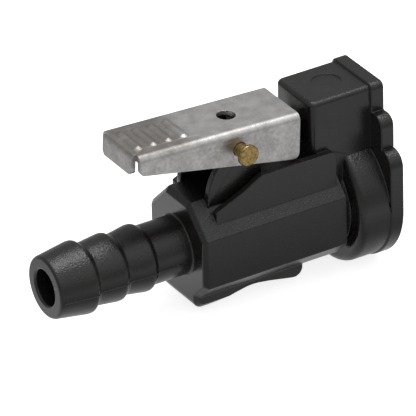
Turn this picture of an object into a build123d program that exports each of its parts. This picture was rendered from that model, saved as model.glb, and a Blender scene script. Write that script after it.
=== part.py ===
"""Quick disconnect coupling: the hose half, with a barbed tail and a stamped latch lever.

Millimetres, +Z up. The origin is the centre of the socket mouth in the mating face. The socket,
the valve and the barb share the X axis: the mating half leaves along +X, and the hose is pushed
on from -X. The guide pin of the mating half runs parallel to the socket, in the block on top.
"""

import os
from math import asin, cos, degrees, radians, sin, sqrt, tan

from build123d import *

# ---------------------------------------------------------------- hose barb, from its tip inwards
tip_radius = 5.05
tip_round = 0.5
hose_bore_radius = 2.9
bore_chamfer = 0.25
tooth_radii = (5.8, 5.42, 5.37)  # crest of each tooth
tooth_crests = (5.9, 11.2, 16.2)  # tip to the middle of each crest land
tooth_land = 0.7
tooth_back = 0.8  # how far each back slope runs
root_radii = (4.98, 4.82)  # behind the first and the second tooth
neck_radius = 4.78
barb_length = 23.5  # tip to the shoulder of the body
neck_flare = 0.2  # where the neck meets the shoulder

# ---------------------------------------------------------------- moulded body
body_length = 25.75  # eight-sided part, from the shoulder
half_width = 8.15
side_top = 3.9
side_bottom = -4.3
deck_height = 8.7  # flat top
deck_half_width = 3.2
belly_depth = 7.2  # flat underside
belly_half_width = 5.2
shoulder_chamfer = 0.75
groove_width = 0.95  # between the eight-sided part and the round housing
groove_radius = 7.7
housing_radius = 10.8
housing_length = 5.2
housing_round = 1.3
plate_thickness = 2.4  # mating plate
plate_lip_margin = 0.5  # beyond the block, each side
plate_mid_step = 2.75  # each side
plate_side_step = 2.65  # each side
plate_side_top = 10.25
plate_side_land = 0.05  # flat left inside the rounded corner
plate_mid_top = 15.6
plate_mid_corner = 1.8
plate_lip_rise = 0.35
plate_lip_corner = 1.1
plate_edge = 0.2  # bevel of both rims

# ---------------------------------------------------------------- guide-pin block on top
block_front = 13.0  # mating face to the front of the block
block_half_width = 5.15
block_top = 20.0
block_draft = 1.3  # degrees, each side wall
block_corner = 1.2
block_edge = 0.75
ejector_radius = 2.35
ejector_depth = 0.15
ejector_x = 6.9
guide_radius = 2.9
guide_height = 14.3
guide_chamfer = 0.5

# ---------------------------------------------------------------- keel under the body
keel_half_width = 5.2
keel_front_depth = 9.35
keel_toe = 3.0  # flat part behind the shoulder
keel_waist_depth = 8.0
keel_waist_x = 9.8  # from the shoulder
keel_heel_depth = 9.15
keel_heel_x = 17.6
keel_length = 19.3
keel_heel_round = 1.5
keel_toe_round = 1.5

# ---------------------------------------------------------------- fins beside the lever
fin_outer = 6.5
fin_thickness = 1.2
fin_start = 22.45  # from the rear of the eight-sided part
fin_front_height = 7.4
fin_bend_x = 17.35
fin_bend_height = 9.65
fin_knee_x = 14.25
fin_top = 11.45
fin_end = 0.85
fin_corner = 0.9

# ---------------------------------------------------------------- lever and its pivot
latch_clearance = 2.2  # latch plate to the guide-pin block
pivot_height = 16.65
lever_tilt = 2.7  # degrees, at rest the web falls towards the mating face
lever_travel = 12.0  # degrees, until the web meets the front stops
sheet = 0.85
lever_half_width = 5.55
web_rise = 3.12  # pivot to the top of the web
bend_radius = 1.15  # outside of the folds
lever_front = 18.5  # pivot to the outside of the thumb lip
lever_rear = 10.8  # pivot to the outside of the latch plate
flange_front_drop = 0.05  # below the pivot
flange_rear_drop = 4.55
flange_corner = 1.0
lip_drop = 0.35
lip_half_width = 4.15
lip_corner = 0.9
lip_bend_radius = 0.9
flange_setback = 0.85  # front edge of each flange, behind the lip's face
latch_drop = 0.85  # pivot to the lower edge of the latch plate
latch_core_radius = 2.1  # groove of the guide pin
grip_count = 4
grip_pitch = 2.65
grip_last = 8.25  # pivot to the rib nearest to it
grip_half_length = 3.25
grip_width = 1.7
grip_height = 0.35
grip_dome_rise = 0.31  # bevelled flank of each rib
grip_dome_run = 0.62
lever_hole_radius = 1.5
lever_hole_x = 1.0  # behind the pivot

pin_radius = 1.1
pin_fit = 0.05  # running fit in the lever
pin_head_radius = 1.75
pin_head_length = 2.6  # neck and button together
pin_button_length = 0.65
pin_head_bevel = 0.15
pin_tail_length = 0.9
pin_end_play = 0.08

ear_thickness = 1.15
ear_gap = 0.1  # ear to the inside of a lever flange
ear_front = 5.3  # before the pivot
ear_bulge_x = 0.75  # front edge, a little above the deck
ear_bulge_height = 3.2
ear_crown_x = 2.7  # before the pivot
ear_crown_drop = 2.0  # below the pivot
ear_rear = 4.6  # behind the pivot
ear_heel = 1.2
ear_stop_gap = 0.05
ear_stop_near = 0.9  # stop lands, from the pivot
ear_stop_far = 2.7

spring_wire = 0.25  # radius of the lever spring's wire
spring_turns = 4  # whole turns between the legs
spring_pitch = 0.56
spring_fit = 0.08  # coil to pin
spring_web_leg = 6.2
spring_deck_slope = 75.0  # degrees below level
spring_seat_gap = 0.03
spring_steps = 16  # flats in each turn of wire

# ---------------------------------------------------------------- socket and valve
socket_radius = 4.05
socket_chamfer = 0.4
retainer_radius = 6.3
retainer_length = 3.6
seal_bore_radius = 5.75
seal_wire = 0.95  # radius of the socket seal's section
seal_gap = 0.02
seat_length = 3.7
nozzle_stop = 2.0  # how deep the nozzle goes into the seat
throat_radius = 3.15
throat_length = 0.7
chamber_radius = 5.0
chamber_length = 13.0
seat_cone_radius = 4.35
poppet_head_radius = 4.45
poppet_head_length = 1.5
poppet_nose_radius = 2.75
poppet_vane_radius = 2.65
poppet_nose_reach = 4.3  # mating face to the poppet's nose
poppet_web = 1.1
poppet_fit = 0.07  # guide ribs in the chamber
poppet_rib_length = 3.6
poppet_rib_root = 4.25
poppet_spigot_radius = 3.0
poppet_spigot_length = 3.0
poppet_lead = 0.4
poppet_seal_wire = 0.6
poppet_seal_gap = 0.03
valve_wire = 0.35
valve_coil_radius = 3.7
valve_turns = 5
valve_end_gap = 0.02
wire_sides = 6
seal_sides = 8

# ---------------------------------------------------------------- places along X
shoulder_x = -(body_length + groove_width + housing_length + plate_thickness)
tip_x = shoulder_x - barb_length
body_rear_x = shoulder_x + body_length
housing_front_x = body_rear_x + groove_width
plate_front_x = -plate_thickness
block_front_x = -block_front
pivot_px = block_front_x - latch_clearance - lever_rear
pivot = (pivot_px, pivot_height)

retainer_inner_x = -retainer_length
seat_mouth_x = retainer_inner_x - 2 * seal_wire - 2 * seal_gap
seat_inner_x = seat_mouth_x - seat_length
throat_front_x = seat_mouth_x - nozzle_stop
throat_rear_x = throat_front_x - throat_length
chamber_end_x = seat_inner_x - chamber_length

# The poppet's seal rests against the middle of the seat's cone.
cone_length = throat_rear_x - seat_inner_x
cone_rise = seat_cone_radius - throat_radius
cone_slant = sqrt(cone_length**2 + cone_rise**2)
seal_stand_off = poppet_seal_wire + poppet_seal_gap
poppet_seal_x = seat_inner_x + cone_length / 2 - seal_stand_off * cone_rise / cone_slant
poppet_seal_radius = poppet_nose_radius + poppet_seal_wire
head_front_x = poppet_seal_x - poppet_seal_wire
head_rear_x = head_front_x - poppet_head_length

# ---------------------------------------------------------------- lever frame
# The lever's own plane: x along the web towards the latch, y square to the web, z along -Y.
lever_plane = Plane(
    origin=(pivot_px, 0, pivot_height),
    x_dir=(cos(radians(lever_tilt)), 0, -sin(radians(lever_tilt))),
    z_dir=(0, -1, 0),
)
web_under = web_rise - sheet


def in_lever(x, z, tilt):
    """World (x, z) of a point along and square to a web that falls by tilt degrees."""
    c, s = cos(radians(tilt)), sin(radians(tilt))
    return (pivot_px + x * c + z * s, pivot_height - x * s + z * c)


def outer_pair(outline, height):
    """The two outermost corners of the plate's outline at one height."""
    level = outline.vertices().filter_by(lambda v: abs(v.Y - height) < 0.001)
    return [level.sort_by(Axis.X)[0], level.sort_by(Axis.X)[-1]]


# ---------------------------------------------------------------- guide-pin block
plate_lip_half_width = block_half_width + plate_lip_margin
plate_mid_half_width = plate_lip_half_width + plate_mid_step
plate_radius = plate_mid_half_width + plate_side_step
plate_side_corner = plate_side_step - plate_side_land
with BuildPart() as guide_block:
    block_foot = block_half_width + block_top * tan(radians(block_draft))
    with BuildSketch(Plane.YZ.offset(block_front_x)):
        with BuildLine():
            Polyline(
                (block_foot, 0),
                (block_half_width, block_top),
                (-block_half_width, block_top),
                (-block_foot, 0),
                close=True,
            )
        make_face()
    extrude(amount=block_front - plate_thickness)
    front_corners = guide_block.faces().sort_by(Axis.X)[0].edges().sort_by(Axis.Z)[1:3]
    fillet(front_corners, radius=block_corner)
    block_rim = guide_block.faces().sort_by(Axis.Z)[-1].edges()
    fillet(block_rim.sort_by(Axis.X)[:-1], radius=block_edge)

# ---------------------------------------------------------------- mating plate
# Round below, stepped in twice towards the lip over the block
with BuildPart() as mating_plate:
    with BuildSketch(Plane.YZ.offset(plate_front_x)) as plate_outline:
        with BuildLine():
            Polyline(
                (plate_radius, 0),
                (plate_radius, plate_side_top),
                (plate_mid_half_width, plate_side_top),
                (plate_mid_half_width, plate_mid_top),
                (plate_lip_half_width, plate_mid_top),
                (plate_lip_half_width, block_top + plate_lip_rise),
                (-plate_lip_half_width, block_top + plate_lip_rise),
                (-plate_lip_half_width, plate_mid_top),
                (-plate_mid_half_width, plate_mid_top),
                (-plate_mid_half_width, plate_side_top),
                (-plate_radius, plate_side_top),
                (-plate_radius, 0),
            )
            ThreePointArc((-plate_radius, 0), (0, -plate_radius), (plate_radius, 0))
        make_face()
        fillet(plate_outline.vertices().group_by(Axis.Y)[-1], radius=plate_lip_corner)
        fillet(outer_pair(plate_outline, plate_mid_top), radius=plate_mid_corner)
        fillet(outer_pair(plate_outline, plate_side_top), radius=plate_side_corner)
    extrude(amount=plate_thickness)
    rims = mating_plate.faces().filter_by(Axis.X)
    chamfer(rims.edges(), length=plate_edge)

# ---------------------------------------------------------------- moulded body
with BuildPart() as coupling_body:
    # Eight-sided prism
    with BuildSketch(Plane.YZ.offset(shoulder_x)):
        with BuildLine():
            Polyline(
                (half_width, side_bottom),
                (half_width, side_top),
                (deck_half_width, deck_height),
                (-deck_half_width, deck_height),
                (-half_width, side_top),
                (-half_width, side_bottom),
                (-belly_half_width, -belly_depth),
                (belly_half_width, -belly_depth),
                close=True,
            )
        make_face()
    extrude(amount=body_length)

    # Keel: a wide foot with a hollowed underside and a rounded heel
    with BuildSketch(Plane.XZ) as keel_profile:
        with BuildLine():
            Polyline(
                (shoulder_x + keel_length, -keel_heel_depth),
                (shoulder_x + keel_length, 0),
                (shoulder_x, 0),
                (shoulder_x, -keel_front_depth),
                (shoulder_x + keel_toe, -keel_front_depth),
            )
            Spline(
                (shoulder_x + keel_toe, -keel_front_depth),
                (shoulder_x + keel_waist_x, -keel_waist_depth),
                (shoulder_x + keel_heel_x, -keel_heel_depth),
                tangents=[(1, 0.15), (1, -0.15)],
            )
            Line(
                (shoulder_x + keel_heel_x, -keel_heel_depth),
                (shoulder_x + keel_length, -keel_heel_depth),
            )
        make_face()
        heel = keel_profile.vertices().group_by(Axis.X)[-1].sort_by(Axis.Y)[0]
        fillet(heel, radius=keel_heel_round)
    extrude(amount=keel_half_width, both=True)
    toe_edge = coupling_body.faces().filter_by(Axis.X).sort_by(Axis.X)[0].edges().sort_by(Axis.Z)[0]
    fillet(toe_edge, radius=keel_toe_round)
    front_face = coupling_body.faces().filter_by(Axis.X).sort_by(Axis.X)[0]
    chamfer(front_face.outer_wire().edges().sort_by(Axis.Z)[1:], length=shoulder_chamfer)

    # Round housing behind a groove
    with BuildSketch(Plane.XZ) as housing_profile:
        with BuildLine():
            Polyline(
                (body_rear_x - 1, 0),
                (body_rear_x - 1, groove_radius),
                (housing_front_x, groove_radius),
                (housing_front_x, housing_radius),
                (plate_front_x, housing_radius),
                (plate_front_x, 0),
                close=True,
            )
        make_face()
        rim = housing_profile.vertices().group_by(Axis.Y)[-1].sort_by(Axis.X)[0]
        fillet(rim, radius=housing_round)
    revolve(axis=Axis.X)

    # Guide-pin block and mating plate
    add(guide_block.part)
    add(mating_plate.part)

    # Fins either side of the lever
    for side in (-1, 1):
        with BuildSketch(Plane.XZ.offset(side * fin_outer)):
            with BuildLine():
                Polyline(
                    (body_rear_x - fin_start, 0),
                    (body_rear_x - fin_start, fin_front_height),
                    (body_rear_x - fin_bend_x, fin_bend_height),
                    (body_rear_x - fin_knee_x, fin_top),
                    (body_rear_x - fin_end - fin_corner, fin_top),
                )
                RadiusArc(
                    (body_rear_x - fin_end - fin_corner, fin_top),
                    (body_rear_x - fin_end, fin_top - fin_corner),
                    fin_corner,
                )
                Polyline(
                    (body_rear_x - fin_end, fin_top - fin_corner),
                    (body_rear_x - fin_end, 0),
                    (body_rear_x - fin_start, 0),
                )
            make_face()
        extrude(amount=-side * fin_thickness)

    # Ears for the pivot, with the lever's two stop lands on top
    front_tilt = lever_tilt - lever_travel
    stop_rise = web_rise - sheet - ear_stop_gap
    ear_outer = lever_half_width - sheet - ear_gap
    for side in (-1, 1):
        with BuildSketch(Plane.XZ.offset(side * ear_outer)):
            with BuildLine():
                ThreePointArc(
                    (pivot_px - ear_front, deck_height - 1),
                    (pivot_px - ear_front + ear_bulge_x, deck_height + ear_bulge_height),
                    (pivot_px - ear_crown_x, pivot_height - ear_crown_drop),
                )
                Polyline(
                    (pivot_px - ear_crown_x, pivot_height - ear_crown_drop),
                    in_lever(-ear_stop_far, stop_rise, front_tilt),
                    in_lever(-ear_stop_near, stop_rise, front_tilt),
                    in_lever(ear_stop_near, stop_rise, lever_tilt),
                    in_lever(ear_stop_far, stop_rise, lever_tilt),
                    (pivot_px + ear_rear, deck_height + ear_heel),
                    (pivot_px + ear_rear, deck_height - 1),
                    (pivot_px - ear_front, deck_height - 1),
                )
            make_face()
        extrude(amount=-side * ear_thickness)

    # Barb: three teeth and a neck that flares into the shoulder
    with BuildSketch(Plane.XZ):
        with BuildLine():
            outline = [
                (tip_x, 0),
                (tip_x, tip_radius - tip_round),
                (tip_x + 0.3 * tip_round, tip_radius - 0.3 * tip_round),
                (tip_x + tip_round, tip_radius),
            ]
            roots = (*root_radii, neck_radius)
            for crest, crest_radius, root_radius in zip(tooth_crests, tooth_radii, roots):
                outline += [
                    (tip_x + crest - tooth_land / 2, crest_radius),
                    (tip_x + crest + tooth_land / 2, crest_radius),
                    (tip_x + crest + tooth_land / 2 + tooth_back, root_radius),
                ]
            outline += [
                (shoulder_x - neck_flare, neck_radius),
                (shoulder_x, neck_radius + neck_flare),
                (shoulder_x + 1, neck_radius + neck_flare),
                (shoulder_x + 1, 0),
            ]
            Polyline(*outline, close=True)
        make_face()
    revolve(axis=Axis.X)

    # Round mark of the ejector on top of the block
    with BuildSketch(Plane.XY.offset(block_top)):
        with Locations((-ejector_x, 0)):
            Circle(ejector_radius)
    extrude(amount=-ejector_depth, mode=Mode.SUBTRACT)

    # Stepped bore: retainer seat, seal and seat bore, valve chamber, hose bore
    with BuildSketch(Plane.XZ):
        with BuildLine():
            Polyline(
                (tip_x, 0),
                (tip_x, hose_bore_radius + bore_chamfer),
                (tip_x + bore_chamfer, hose_bore_radius),
                (chamber_end_x, hose_bore_radius),
                (chamber_end_x, chamber_radius),
                (seat_inner_x, chamber_radius),
                (seat_inner_x, seal_bore_radius),
                (retainer_inner_x, seal_bore_radius),
                (retainer_inner_x, retainer_radius),
                (0, retainer_radius),
                (0, 0),
                close=True,
            )
        make_face()
    revolve(axis=Axis.X, mode=Mode.SUBTRACT)

    # Guide-pin bore, countersunk at the mating face
    with BuildSketch(Plane.XZ):
        with BuildLine():
            Polyline(
                (-block_front - 1, guide_height),
                (-block_front - 1, guide_height + guide_radius),
                (-guide_chamfer, guide_height + guide_radius),
                (0, guide_height + guide_radius + guide_chamfer),
                (0, guide_height),
                close=True,
            )
        make_face()
    revolve(axis=Axis((0, 0, guide_height), (1, 0, 0)), mode=Mode.SUBTRACT)

    # Pin hole through both ears
    with BuildSketch(Plane.XZ):
        with Locations(pivot):
            Circle(pin_radius)
    extrude(amount=lever_half_width, both=True, mode=Mode.SUBTRACT)

# ---------------------------------------------------------------- lever
with BuildPart() as lever_hollow:
    with BuildSketch(lever_plane) as hollow_profile:
        with BuildLine():
            Polyline(
                (-lever_front + sheet, web_under),
                (lever_rear - sheet, web_under),
                (lever_rear - sheet, -flange_rear_drop - 5),
                (-lever_front + sheet, -flange_rear_drop - 5),
                close=True,
            )
        make_face()
    extrude(amount=lever_half_width - sheet, both=True)
    inner_folds = lever_hollow.faces().sort_by(Axis.Z)[-1].edges()
    fillet(inner_folds, radius=bend_radius - sheet)

grip_plane = Plane(
    origin=lever_plane.from_local_coords((0, web_rise, 0)),
    x_dir=lever_plane.x_dir,
    z_dir=lever_plane.y_dir,
)
with BuildPart() as grip_rib:
    with BuildSketch(grip_plane.offset(-sheet / 2)):
        SlotOverall(2 * grip_half_length, grip_width, rotation=90)
    extrude(amount=sheet / 2 + grip_height)
    rib_top = grip_rib.faces().sort_by(Axis.Z)[-1]
    chamfer(rib_top.edges(), length=grip_dome_run, length2=grip_dome_rise, reference=rib_top)

with BuildPart() as latch_lever:
    # Folded channel from its side view, then the inside taken out
    with BuildSketch(lever_plane) as lever_profile:
        with BuildLine():
            Polyline(
                (-lever_front, web_rise),
                (lever_rear, web_rise),
                (lever_rear, -flange_rear_drop),
                (-lever_front + flange_setback, -flange_front_drop),
                (-lever_front + flange_setback, -lip_drop),
                (-lever_front, -lip_drop),
                close=True,
            )
        make_face()
    extrude(amount=lever_half_width, both=True)
    outer_folds = latch_lever.faces().sort_by(Axis.Z)[-1].edges()
    fillet(outer_folds.sort_by(Axis.X)[0], radius=lip_bend_radius)
    outer_folds = latch_lever.faces().sort_by(Axis.Z)[-1].edges()
    fillet(outer_folds.sort_by(Axis.X)[1:], radius=bend_radius)
    rear_foot = latch_lever.edges().filter_by(Axis.Y).sort_by(Axis.Z)[0]
    fillet(rear_foot, radius=flange_corner)
    add(lever_hollow.part, mode=Mode.SUBTRACT)

    # Thumb lip: a rounded tongue, with the corner beside it notched back to each flange
    lip_zone = Plane(
        origin=lever_plane.from_local_coords((-lever_front - 1, 0, 0)),
        x_dir=(0, 1, 0),
        z_dir=lever_plane.x_dir,
    )
    with BuildSketch(lip_zone) as lip_waste:
        Rectangle(2 * lever_half_width + 2, 2 * (web_rise + flange_rear_drop))
        with BuildSketch(mode=Mode.PRIVATE) as lip_shape:
            with Locations((0, -lip_drop)):
                Rectangle(
                    2 * lip_half_width,
                    2 * web_rise + lip_drop,
                    align=(Align.CENTER, Align.MIN),
                )
            fillet(lip_shape.vertices().group_by(Axis.Y)[0], radius=lip_corner)
        add(lip_shape.sketch, mode=Mode.SUBTRACT)
    extrude(amount=1 + flange_setback, mode=Mode.SUBTRACT)

    # Front lower corner of each flange
    toe = (
        latch_lever.edges()
        .filter_by(Axis.Y)
        .filter_by(lambda e: e.length < sheet + 0.01)
        .group_by(Axis.X)[0]
    )
    fillet(toe, radius=flange_corner)

    # Latch plate between the flanges: straight lower edge with an arch for the pin's groove
    with BuildSketch(lever_plane.offset(lever_half_width - sheet)):
        with BuildLine():
            Polyline(
                (lever_rear - sheet - 1, -latch_drop),
                (lever_rear + 1, -latch_drop),
                (lever_rear + 1, -flange_rear_drop - 2),
                (lever_rear - sheet - 1, -flange_rear_drop - 2),
                close=True,
            )
        make_face()
    extrude(amount=-2 * (lever_half_width - sheet), mode=Mode.SUBTRACT)
    with BuildSketch(Plane.YZ.offset(pivot_px + lever_rear - 2)):
        with Locations((0, guide_height)):
            Circle(latch_core_radius)
    extrude(amount=4, mode=Mode.SUBTRACT)

    # Cross ribs pressed up under the thumb, and the round hole
    for rib in range(grip_count):
        along = -grip_last - rib * grip_pitch
        add(grip_rib.part.moved(Location(lever_plane.x_dir * along)))
    with BuildSketch(Plane.XY.offset(pivot_height)):
        with Locations((pivot_px + lever_hole_x, 0)):
            Circle(lever_hole_radius)
    extrude(amount=web_rise + 1, mode=Mode.SUBTRACT)

    # Pivot holes
    with BuildSketch(Plane.XZ):
        with Locations(pivot):
            Circle(pin_radius + pin_fit)
    extrude(amount=lever_half_width + 1, both=True, mode=Mode.SUBTRACT)

# ---------------------------------------------------------------- pivot pin
with BuildPart() as pivot_pin:
    head_y = lever_half_width + pin_end_play
    with BuildSketch(Plane.XY) as pin_profile:
        with BuildLine():
            Polyline(
                (0, -head_y - pin_head_length),
                (pin_head_radius, -head_y - pin_head_length),
                (pin_head_radius, -head_y - pin_head_length + pin_button_length),
                (pin_radius, -head_y - pin_head_length + pin_button_length),
                (pin_radius, head_y),
                (pin_head_radius, head_y),
                (pin_head_radius, head_y + pin_tail_length / 3),
                (pin_radius, head_y + pin_tail_length),
                (0, head_y + pin_tail_length),
                close=True,
            )
        make_face()
        head_rim = pin_profile.vertices().group_by(Axis.Y)[0].sort_by(Axis.X)[-1]
        chamfer(head_rim, length=pin_head_bevel)
    revolve(axis=Axis.Y)
pivot_pin.part.locate(Location((pivot_px, 0, pivot_height)))

# ---------------------------------------------------------------- lever spring
# Coil round the pin. One leg lifts the web under the thumb, the other stands on the deck.
spring_radius = pin_radius + spring_fit + spring_wire
web_leg_rise = web_rise - sheet - spring_seat_gap - spring_wire - spring_radius
coil_begin = spring_deck_slope - 90
coil_end = 90 - lever_tilt - degrees(asin(web_leg_rise / spring_web_leg))
spring_width = (spring_turns + (coil_end - coil_begin) / 360) * spring_pitch
spring_plane = Plane(
    origin=(pivot_px, 0, pivot_height),
    x_dir=(cos(radians(coil_begin)), 0, sin(radians(coil_begin))),
    z_dir=(0, -1, 0),
)
deck_leg_start = pivot_height + spring_radius * sin(radians(coil_begin))
deck_leg = (deck_leg_start - deck_height - spring_wire - spring_seat_gap) / sin(
    radians(spring_deck_slope)
)
with BuildPart() as lever_spring:
    with BuildLine() as coil_line:
        coil = Helix(
            pitch=spring_pitch,
            height=spring_width,
            radius=spring_radius,
            center=(0, 0, -spring_width / 2),
        )
    coil_steps = round(spring_steps * spring_width / spring_pitch)
    wire_places = [Plane(coil.location_at(step / coil_steps)) for step in range(coil_steps + 1)]
    deck_end = wire_places[0].offset(-deck_leg)
    web_end = wire_places[-1].offset(spring_web_leg)
    for place in (deck_end, *wire_places, web_end):
        with BuildSketch(place):
            RegularPolygon(spring_wire, wire_sides)
    loft(ruled=True)
lever_spring.part.locate(spring_plane.location)

# ---------------------------------------------------------------- socket parts
with BuildPart() as seal_retainer:
    with BuildSketch(Plane.XZ):
        with BuildLine():
            Polyline(
                (retainer_inner_x, socket_radius),
                (retainer_inner_x, retainer_radius),
                (0, retainer_radius),
                (0, socket_radius + socket_chamfer),
                (-socket_chamfer, socket_radius),
                close=True,
            )
        make_face()
    revolve(axis=Axis.X)

with BuildPart() as socket_seal:
    with BuildSketch(Plane.XZ):
        seal_place = (
            retainer_inner_x - seal_gap - seal_wire,
            seal_bore_radius - seal_gap - seal_wire,
        )
        with Locations(seal_place):
            RegularPolygon(seal_wire, seal_sides, major_radius=False, rotation=180 / seal_sides)
    revolve(axis=Axis.X)

with BuildPart() as valve_seat:
    with BuildSketch(Plane.XZ):
        with BuildLine():
            Polyline(
                (seat_mouth_x, socket_radius + socket_chamfer),
                (seat_mouth_x, seal_bore_radius),
                (seat_inner_x, seal_bore_radius),
                (seat_inner_x, seat_cone_radius),
                (throat_rear_x, throat_radius),
                (throat_front_x, throat_radius),
                (throat_front_x, socket_radius),
                (seat_mouth_x - socket_chamfer, socket_radius),
                close=True,
            )
        make_face()
    revolve(axis=Axis.X)

# ---------------------------------------------------------------- valve
with BuildPart() as valve_poppet:
    # Fluted nose, round land under the seal, head and spring spigot
    with BuildSketch(Plane.XZ):
        with BuildLine():
            Polyline(
                (head_rear_x - poppet_spigot_length, 0),
                (head_rear_x - poppet_spigot_length, poppet_spigot_radius - poppet_lead),
                (head_rear_x - poppet_spigot_length + poppet_lead, poppet_spigot_radius),
                (head_rear_x, poppet_spigot_radius),
                (head_rear_x, poppet_head_radius),
                (head_front_x, poppet_head_radius),
                (head_front_x, poppet_nose_radius),
                (poppet_seal_x + poppet_seal_wire, poppet_nose_radius),
                (poppet_seal_x + poppet_seal_wire, 0),
                close=True,
            )
        make_face()
    revolve(axis=Axis.X)
    with BuildSketch(Plane.YZ.offset(-poppet_nose_reach)):
        Rectangle(2 * poppet_vane_radius, poppet_web)
        Rectangle(poppet_web, 2 * poppet_vane_radius)
    extrude(until=Until.NEXT, dir=(-1, 0, 0))
    # Guide ribs on the rim of the head
    rib_outer = chamber_radius - poppet_fit
    with BuildSketch(Plane.YZ.offset(head_front_x)):
        Rectangle(2 * chamber_radius, poppet_web)
        Rectangle(poppet_web, 2 * chamber_radius)
        Circle(rib_outer, mode=Mode.INTERSECT)
        Circle(poppet_rib_root, mode=Mode.SUBTRACT)
    extrude(amount=-poppet_rib_length)

with BuildPart() as poppet_seal:
    with BuildSketch(Plane.XZ):
        with Locations((poppet_seal_x, poppet_seal_radius)):
            RegularPolygon(
                poppet_seal_wire,
                seal_sides,
                major_radius=False,
                rotation=180 / seal_sides,
            )
    revolve(axis=Axis.X)

with BuildPart() as valve_spring:
    # Compression coil with ends ground flat
    coil_length = head_rear_x - chamber_end_x - 2 * valve_end_gap
    with BuildLine() as valve_line:
        valve_coil = Helix(
            pitch=(coil_length - valve_wire) / valve_turns,
            height=coil_length - valve_wire,
            radius=valve_coil_radius,
            center=(chamber_end_x + valve_end_gap + valve_wire / 2, 0, 0),
            direction=(1, 0, 0),
        )
    for step in range(valve_turns * spring_steps + 1):
        with BuildSketch(Plane(valve_coil.location_at(step / (valve_turns * spring_steps)))):
            RegularPolygon(valve_wire, wire_sides)
    loft(ruled=True)
    with BuildSketch(Plane.YZ.offset(chamber_end_x + valve_end_gap)):
        Circle(valve_coil_radius + 2 * valve_wire)
    extrude(amount=coil_length, mode=Mode.INTERSECT)

# ---------------------------------------------------------------- output
os.makedirs("parts", exist_ok=True)
coupling_body.part.label = "coupling_body"
export_step(coupling_body.part, "parts/coupling_body.step")
latch_lever.part.label = "latch_lever"
export_step(latch_lever.part, "parts/latch_lever.step")
pivot_pin.part.label = "pivot_pin"
export_step(pivot_pin.part, "parts/pivot_pin.step")
lever_spring.part.label = "lever_spring"
export_step(lever_spring.part, "parts/lever_spring.step")
seal_retainer.part.label = "seal_retainer"
export_step(seal_retainer.part, "parts/seal_retainer.step")
socket_seal.part.label = "socket_seal"
export_step(socket_seal.part, "parts/socket_seal.step")
valve_seat.part.label = "valve_seat"
export_step(valve_seat.part, "parts/valve_seat.step")
valve_poppet.part.label = "valve_poppet"
export_step(valve_poppet.part, "parts/valve_poppet.step")
poppet_seal.part.label = "poppet_seal"
export_step(poppet_seal.part, "parts/poppet_seal.step")
valve_spring.part.label = "valve_spring"
export_step(valve_spring.part, "parts/valve_spring.step")
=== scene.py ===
"""Quick disconnect coupling, hose half: finishes, wire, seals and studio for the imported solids."""

import math

import bmesh
import bpy
from mathutils import Matrix, Vector
from mathutils.geometry import intersect_point_line


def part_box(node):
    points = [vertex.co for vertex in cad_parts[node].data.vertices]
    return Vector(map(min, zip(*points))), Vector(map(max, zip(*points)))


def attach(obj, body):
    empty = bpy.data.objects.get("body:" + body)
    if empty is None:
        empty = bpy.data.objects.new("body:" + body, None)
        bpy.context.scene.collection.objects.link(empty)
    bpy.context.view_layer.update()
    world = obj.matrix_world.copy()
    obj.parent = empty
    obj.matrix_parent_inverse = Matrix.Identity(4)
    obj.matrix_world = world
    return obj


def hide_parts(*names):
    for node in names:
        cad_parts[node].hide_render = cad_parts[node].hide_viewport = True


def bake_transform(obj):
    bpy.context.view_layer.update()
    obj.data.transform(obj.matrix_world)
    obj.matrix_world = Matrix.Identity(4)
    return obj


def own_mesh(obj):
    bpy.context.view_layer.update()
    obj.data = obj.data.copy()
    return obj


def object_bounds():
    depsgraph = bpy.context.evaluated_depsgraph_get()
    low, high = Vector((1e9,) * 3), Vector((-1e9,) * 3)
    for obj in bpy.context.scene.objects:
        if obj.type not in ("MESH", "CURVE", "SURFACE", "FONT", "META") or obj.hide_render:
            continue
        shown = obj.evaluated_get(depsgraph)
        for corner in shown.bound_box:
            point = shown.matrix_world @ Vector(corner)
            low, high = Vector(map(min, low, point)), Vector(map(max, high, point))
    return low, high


bl_info = {
    "name": "Quick Disconnect Coupling",
    "version": (1, 0, 0),
    "blender": (4, 5, 0),
    "location": "3D View > Sidebar > Coupling",
    "description": "Dresses the hose half of a quick disconnect coupling and sets up its studio",
    "category": "Object",
}

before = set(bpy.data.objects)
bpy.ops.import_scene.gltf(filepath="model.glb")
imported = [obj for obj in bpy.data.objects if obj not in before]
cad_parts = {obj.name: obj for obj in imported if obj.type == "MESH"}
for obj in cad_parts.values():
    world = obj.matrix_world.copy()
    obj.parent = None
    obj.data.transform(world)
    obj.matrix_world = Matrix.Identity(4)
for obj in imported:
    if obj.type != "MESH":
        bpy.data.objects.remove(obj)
cad_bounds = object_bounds()

MM = 0.001
BODY_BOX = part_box("coupling_body")
PIN_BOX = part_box("pivot_pin")
VALVE_SPRING_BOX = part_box("valve_spring")
SOCKET_SEAL_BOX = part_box("socket_seal")
POPPET_SEAL_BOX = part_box("poppet_seal")
SHOULDER_X = BODY_BOX[1].x - 34.3 * MM  # where the neck of the barb meets the body

# Edge rounding
FLAT_ANGLE = math.radians(0.4)  # facets that differ by less are merged
SLIVER_WIDTH = 0.1 * MM  # thinner facets stay apart
SHARP_ANGLE = math.radians(28)  # edges sharper than this are rounded
CREASE_ANGLE = math.radians(34)  # edges sharper than this stay creased
ROOM_SHARE = 0.4  # of the room round an edge, for its rounding

# Facets of the generated pieces
COIL_STEPS = 40  # in each turn
WIRE_SIDES = 12
RING_STEPS = 96
SEAL_SIDES = 24
RIDGE_SIDES = 8

# Nodes
FIRST_COLOUR, SECOND_COLOUR, MIXED_COLOUR = 6, 7, 2  # colour sockets of the Mix node
NOISE_SPAN = {"From Min": 0.3, "From Max": 0.7}  # most of a noise texture's values
WAVE_LENGTH = 0.314  # of a wave texture at scale 1

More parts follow.
